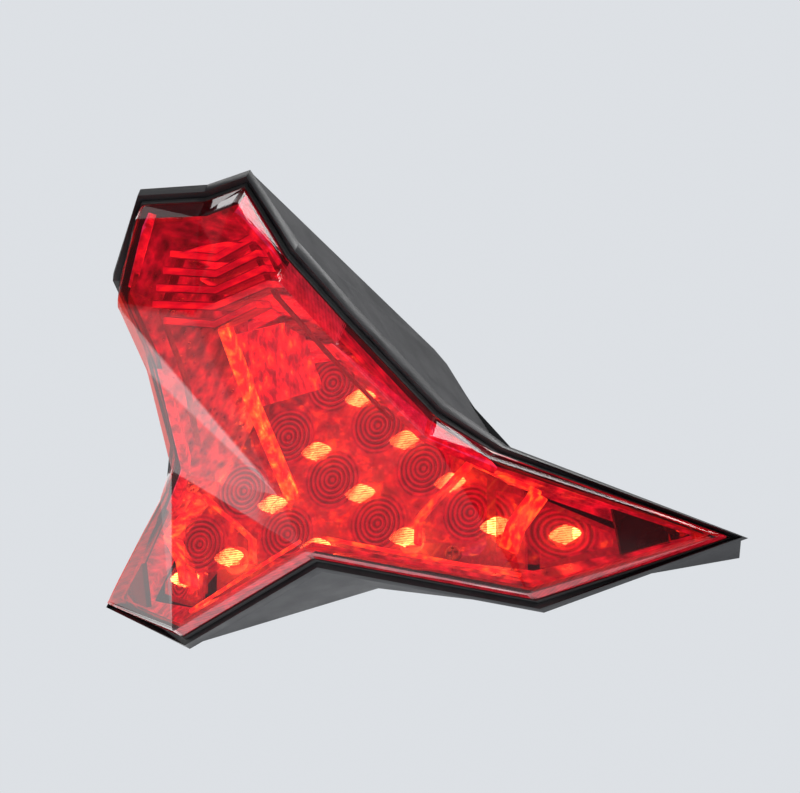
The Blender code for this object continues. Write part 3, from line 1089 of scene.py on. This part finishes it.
@dataclass
class Shell:
    """The black housing and what is fitted to its back. Lengths are millimetres."""

    edge: float = 0.7
    small_edge: float = 0.25
    edge_angle: float = 30.0
    back: float = 49.8
    rib_height: float = 3.4
    rib_thickness: float = 1.5
    rib_lines: tuple[tuple[tuple[float, float], tuple[float, float]], ...] = (
        ((0.0, 18.4), (0.0, 6.8)),
        ((-31.4, -20.6), (-14.6, -17.0)),
        ((31.4, -20.6), (14.6, -17.0)),
        ((-33.6, -16.8), (-16.8, 4.0)),
        ((33.6, -16.8), (16.8, 4.0)),
        ((-6.0, 21.6), (-12.4, 8.0)),
        ((6.0, 21.6), (12.4, 8.0)),
    )

    def build(self) -> None:
        """Builds the housing, its ribs, socket, inserts, terminals, screws and breathers."""
        body = copy_of("rear_housing", "housing_shell")
        soften(body, self.edge, 2, self.edge_angle)
        dress(body, Finish.HOUSING, "rear_housing")
        for number, (begin, end) in enumerate(self.rib_lines, 1):
            dress(self.rib(number, begin, end), Finish.HOUSING)
        fitted = {
            Finish.TRIM: ["connector_socket"],
            Finish.SEAL: ["breather_left", "breather_right"],
            Finish.BRASS: [
                *(f"mount_insert_{side}" for side in ("top", "left", "right")),
                *(f"terminal_{pin}" for pin in (1, 2, 3)),
            ],
            Finish.STEEL: [f"board_screw_{number}" for number in range(1, 5)],
        }
        for finish, nodes in fitted.items():
            for node in nodes:
                piece = copy_of(node, f"{node}_finished")
                soften(piece, self.small_edge, 2, self.edge_angle)
                dress(piece, finish, node)
        repaint(Finish.TRIM, "tip_bezel_left", "tip_bezel_right")

    def rib(
        self, number: int, begin: tuple[float, float], end: tuple[float, float]
    ) -> bpy.types.Object:
        """A stiffening rib on the housing's back.

        Args:
            number: its number.
            begin: X and Z of its one end.
            end: X and Z of its other end.

        Returns:
            The rib.
        """
        (x, z), (far_x, far_z) = begin, end
        foot, top = self.back, self.back + self.rib_height
        corners = [(x, foot, z), (x, top, z), (far_x, top, far_z), (far_x, foot, far_z)]
        return plate(f"housing_rib_{number}", corners, self.rib_thickness)


@dataclass
class Mirrors:
    """The reflectors and the light guide inside the lens."""

    def build(self) -> None:
        """Gives the reflectors and the light guide their finishes."""
        repaint(Finish.SILVER, "reflector")
        repaint(Finish.TREADS, "brow_reflector")
        repaint(Finish.KEEL, "keel_light_guide")


@dataclass
class BrowSlats:
    """Slats behind the forehead of the lens, each bent at the lamp's middle, in millimetres."""

    heights: tuple[float, ...] = (21.5, 26.5, 31.0, 35.5, 40.0)
    half_widths: tuple[float, ...] = (14.0, 17.5, 16.5, 14.5, 12.5)
    front: float = -50.0
    bend: float = 3.0
    drop: float = 2.2
    tilt: float = 0.3
    depth: Point = (0.0, 9.0, 2.6)
    thickness: float = 2.3

    def build(self) -> None:
        """Builds the slats."""
        for number, (height, half) in enumerate(zip(self.heights, self.half_widths), 1):
            line = [
                (-half, self.front, height),
                (0.0, self.front + self.bend, height - self.drop),
                (half, self.front, height + self.drop * self.tilt),
            ]
            slat = ribbon(f"brow_slat_{number}", line, self.depth, self.thickness)
            dress(slat, Finish.SLAT)


@dataclass
class CellWalls:
    """Thin walls, rails and bars that part the cells behind the lens. Lengths are millimetres."""

    web: tuple[Point, ...] = ((0, -41, 17.5), (0, -26, 1.5), (0, 14, 18), (0, -1, 34))
    web_thickness: float = 1.4
    web_frame: float = 2.2
    web_recess: float = 0.4
    cell_wall: tuple[Point, ...] = ((42, 21, -6.5), (34, 21, -13.5), (26, 21, -21), (25.8, 21, -28))
    wing_wall: tuple[Point, ...] = ((58, 27.5, -15), (52, 25, -24), (50, 24, -30.6))
    wing_link: tuple[Point, ...] = ((43, 20, -7), (58, 28, -14.5))
    # A glowing bar: a painted highlight standing in for the pale strip of light along the lens's
    # lower edge.
    lower_edge_highlight_bar: tuple[Point, ...] = ((4, 9.5, -27), (28, 20, -32.5), (52, 32.5, -37.5))
    dim_rail: tuple[Point, ...] = ((10, -48, 41.5), (17.5, -46, 25), (22.5, -24, 13.5), (30, -4, 1))
    wall_thickness: float = 1.3
    bar_thickness: float = 0.8
    rail_thickness: float = 1.0

    def build(self) -> None:
        """Builds the web in the middle and the walls on both sides."""
        dress(self.centre_web(), Finish.WEB)
        walls = {
            "cell_wall": (self.cell_wall, (0.0, 3.0, 0.0), self.wall_thickness, Finish.FIN),
            "wing_wall": (self.wing_wall, (0.0, 10.0, 0.0), self.wall_thickness, Finish.FIN),
            "wing_link": (self.wing_link, (0.0, 6.0, 0.0), self.wall_thickness, Finish.FIN),
            # This bar's glow is a painted highlight along the lens's lower edge.
            "lower_edge_highlight_bar": (self.lower_edge_highlight_bar, (0.0, 0.7, 0.9), self.bar_thickness, Finish.FIN),
            "dim_rail": (self.dim_rail, (0.0, 3.0, 0.0), self.rail_thickness, Finish.DIM),
        }
        for word, side in SIDES.items():
            for name, (line, depth, thickness, finish) in walls.items():
                wall = ribbon(f"{name}_{word}", mirrored(line, side), depth, thickness)
                dress(wall, finish)

    def centre_web(self) -> bpy.types.Object:
        """The upright web in the lamp's middle, with a raised frame round each side.

        Returns:
            The web.
        """
        web = plate("centre_web", self.web, self.web_thickness)
        pick(web, "FACE", lambda face: abs(face.normal.x) > 0.9)
        bpy.ops.mesh.inset(thickness=self.web_frame * MM, depth=-self.web_recess * MM)
        bpy.ops.object.mode_set(mode="OBJECT")
        return web


@dataclass
class Optics:
    """Ring lenses and the fluted pillow lenses behind them. Lengths are millimetres."""

    ring_pitch: float = 1.4
    ring_rise: float = 0.7
    ring_edge: float = 0.1
    radius: float = 12.0
    thickness: float = 0.8
    cell: float = 9.9
    side_cut: float = 47.0
    front: float = 21.6
    segments: int = 40
    pillow_front: float = 38.4
    wing_pillow_front: float = 44.5
    pillow_width: float = 8.5
    pillow_thickness: float = 0.5
    pillow_end: float = 0.15
    first_flute: float = 0.2
    flutes: int = 8
    flute_height: float = 0.33
    flute_depth: float = 0.4

    def build(self) -> None:
        """Builds all the optics."""
        repaint(Finish.OPTIC, "optic_centre", "optic_wing_left", "optic_wing_right")
        for number, (x, z) in enumerate(GRID.places(), 1):
            dress(self.ring_lens(number, x, z), Finish.OPTIC)
        middle = self.flutes * self.flute_height
        places = [in_frame((x, self.pillow_front, z + middle)) for x, z in GRID.places()]
        for side in SIDES.values():
            wing = (side * GRID.wing_x, self.wing_pillow_front, GRID.wing_z + middle)
            places.append(in_frame(wing))
        for pillow in copies(self.pillow(), "pillow_lens", places):
            dress(pillow, Finish.PILLOW)

    def ring_lens(self, number: int, x: float, z: float) -> bpy.types.Object:
        """One square cell of rings on the front of the optic.

        Args:
            number: its number.
            x: where its middle lies across the lamp.
            z: the height of its middle.

        Returns:
            The cell.
        """
        start()
        bpy.ops.mesh.primitive_cylinder_add(
            vertices=self.segments,
            radius=self.radius * MM,
            depth=self.thickness * MM,
            location=in_frame((x, self.front, z)),
            rotation=QUARTER_TURN,
        )
        disc = settle(bpy.context.object)
        disc.name = f"ring_lens_{number:02d}"
        pick(disc, "FACE", lambda face: face.normal.y < -0.9)
        for _ in range(int(self.radius / self.ring_pitch)):
            for share, way in ((self.ring_edge, -1), (1.0 - self.ring_edge, 1)):
                bpy.ops.mesh.inset(thickness=self.ring_pitch * share * MM)
                bpy.ops.transform.translate(value=(0.0, way * self.ring_rise * MM, 0.0))
        for along, up in ((-1, -1), (-1, 1), (1, -1), (1, 1)):
            way = Vector((along, 0.0, up)).normalized()
            self.cut(Vector((x, 0.0, z)) * MM + way * self.cell * MM, way)
        for side in (-1, 1):
            self.cut(Vector((side * self.side_cut * MM, 0.0, 0.0)), Vector((side, 0.0, 0.0)))
        bpy.ops.object.mode_set(mode="OBJECT")
        return disc

    @staticmethod
    def cut(spot: Vector, way: Vector) -> None:
        """Cuts off what lies past a spot, along a way, and closes the cut."""
        bpy.ops.mesh.select_all(action="SELECT")
        bpy.ops.mesh.bisect(plane_co=spot, plane_no=way, use_fill=True, clear_outer=True)

    def pillow(self) -> bpy.types.Object:
        """One pillow lens at the origin: a folded strip that swells towards its middle.

        Returns:
            The pillow lens.
        """
        start()
        bpy.ops.mesh.primitive_plane_add(size=1.0, rotation=QUARTER_TURN)
        pillow = bpy.context.object
        pillow.scale = (self.pillow_width * self.pillow_end * MM, self.first_flute * MM, 1.0)
        settle(pillow)
        corners = pillow.data.vertices
        foot = min(corner.co.z for corner in corners) + 0.001 * MM
        pick(pillow, "EDGE", lambda edge: all(corners[i].co.z < foot for i in edge.vertices))
        folds = 2 * self.flutes
        widths = [math.sin(math.pi * (row + 0.7) / (folds + 0.4)) for row in range(folds + 1)]
        for row, (before, after) in enumerate(zip(widths, widths[1:])):
            forward = -self.flute_depth if row % 2 == 0 else self.flute_depth
            move = {"value": (0.0, forward * MM, -self.flute_height * MM)}
            bpy.ops.mesh.extrude_region_move(TRANSFORM_OT_translate=move)
            bpy.ops.transform.resize(value=(after / before, 1.0, 1.0))
        bpy.ops.object.mode_set(mode="OBJECT")
        tidy_mesh(pillow)
        modify(pillow, "SOLIDIFY", thickness=self.pillow_thickness * MM, offset=0.0)
        return pillow


@dataclass
class Electronics:
    """Boards, light sources and small components."""

    def build(self) -> None:
        """Gives the electronic parts their finishes."""
        repaint(Finish.BOARD, "led_board", "wing_board_left", "wing_board_right")
        repaint(Finish.SOURCE, *[f"led_{number:02d}" for number in range(1, 13)])
        repaint(Finish.CHIP, "current_regulator", "resistor_1", "resistor_2")


# ---------------------------------------------------------------- studio


def aimed(thing: bpy.types.Object, place: Point, aim: Point) -> None:
    """Puts a light or a camera in the scene.

    Args:
        thing: the light or camera.
        place: where it stands, in metres.
        aim: the point that it looks at, in metres.
    """
    thing.location = place
    thing.rotation_euler = (Vector(aim) - Vector(place)).to_track_quat("-Z", "Y").to_euler()
    bpy.context.scene.collection.objects.link(thing)


@dataclass(frozen=True)
class SoftLight:
    """A wide, soft light. Lengths are metres."""

    name: str
    place: Point
    size: tuple[float, float]
    watts: float
    aim: Point = (0.0, 0.0, 0.0)

    def build(self) -> None:
        """Adds the light, which the camera doesn't see."""
        data = bpy.data.lights.new(self.name, "AREA")
        data.shape, data.energy = "RECTANGLE", self.watts
        data.size, data.size_y = self.size
        lamp = bpy.data.objects.new(self.name, data)
        lamp.visible_camera = False
        aimed(lamp, self.place, self.aim)


@dataclass
class Studio:
    """Floor, pale air, lights and camera. Lengths are metres."""

    floor_size: float = 6.0
    floor_z: float = -0.74
    paper: Colour = (0.74, 0.75, 0.77)
    pale_paper: Colour = (0.78, 0.79, 0.81)
    air_colour: Colour = (0.85, 0.88, 0.92)
    mirrored_air: float = 0.2
    lighting_air: float = 0.7
    seen_air: float = 0.85
    eye: Point = (0.3822, -0.7722, -0.2257)
    aim: Point = (0.026, -0.045, 0.0115)
    focal: float = 138.0
    sensor: float = 36.0
    lights: tuple[SoftLight, ...] = (
        SoftLight("top_light", (0.1, 0.15, 1.1), (1.3, 1.0), 5.0),
        SoftLight("edge_light", (0.85, 0.15, 0.83), (0.85, 0.6), 20.0),
        SoftLight("side_light", (-1.15, 0.5, 0.12), (1.5, 0.55), 2.6, (0.0, -0.05, 0.0)),
        SoftLight("low_light", (-1.05, 0.52, -0.37), (1.5, 0.44), 2.8, (0.0, -0.05, 0.0)),
        SoftLight("back_light", (-1.0, 0.75, 1.0), (0.9, 0.6), 3.5),
    )

    def build(self) -> None:
        """Builds the set."""
        self.floor()
        for light in self.lights:
            light.build()
        self.air()
        bpy.context.scene.view_settings.view_transform = "Standard"
        self.camera()

    def air(self) -> None:
        """Pale air, which is dimmer as a light and dimmer still in mirrors."""
        world = bpy.data.worlds.new("studio_air")
        world.use_nodes = True
        nodes, links = world.node_tree.nodes, world.node_tree.links
        back = nodes["Background"]
        back.inputs["Color"].default_value = (*self.air_colour, 1.0)
        path = nodes.new("ShaderNodeLightPath")
        seen = nodes.new("ShaderNodeMapRange")
        seen.inputs["To Min"].default_value = self.lighting_air
        seen.inputs["To Max"].default_value = self.seen_air
        in_mirror = nodes.new("ShaderNodeMapRange")
        in_mirror.inputs["To Max"].default_value = self.mirrored_air
        links.new(path.outputs["Is Camera Ray"], seen.inputs["Value"])
        links.new(path.outputs["Is Glossy Ray"], in_mirror.inputs["Value"])
        links.new(seen.outputs["Result"], in_mirror.inputs["To Min"])
        links.new(in_mirror.outputs["Result"], back.inputs["Strength"])
        bpy.context.scene.world = world

    def floor(self) -> None:
        """A wide flat floor of pale paper, well below the lamp."""
        start()
        place = (0.0, 0.0, self.floor_z)
        bpy.ops.mesh.primitive_plane_add(size=self.floor_size, location=place)
        floor = bpy.context.object
        floor.name = "studio_floor"
        settle(floor)
        g = Graph("studio_paper")
        paper = g.principled(
            Base_Color=g.blend(g.noise(60.0, 3.0), self.paper, self.pale_paper),
            Roughness=0.8,
            Emission_Color=(*self.air_colour, 1.0),
            Emission_Strength=0.04,
        )
        floor.data.materials.append(g.finish(paper))

    def camera(self) -> None:
        """Adds the camera."""
        data = bpy.data.cameras.new("camera")
        data.lens, data.sensor_width, data.clip_start = self.focal, self.sensor, 0.01
        camera = bpy.data.objects.new("camera", data)
        aimed(camera, self.eye, self.aim)
        bpy.context.scene.camera = camera


def main() -> None:
    """Builds the lamp and its studio."""
    logging.basicConfig(level=logging.INFO, format="%(name)s %(message)s")
    lamp = (Cover(), Shell(), Mirrors(), BrowSlats(), CellWalls(), Optics(), Electronics())
    for assembly in (*lamp, Studio()):
        assembly.build()


if __name__ == "__main__":
    main()
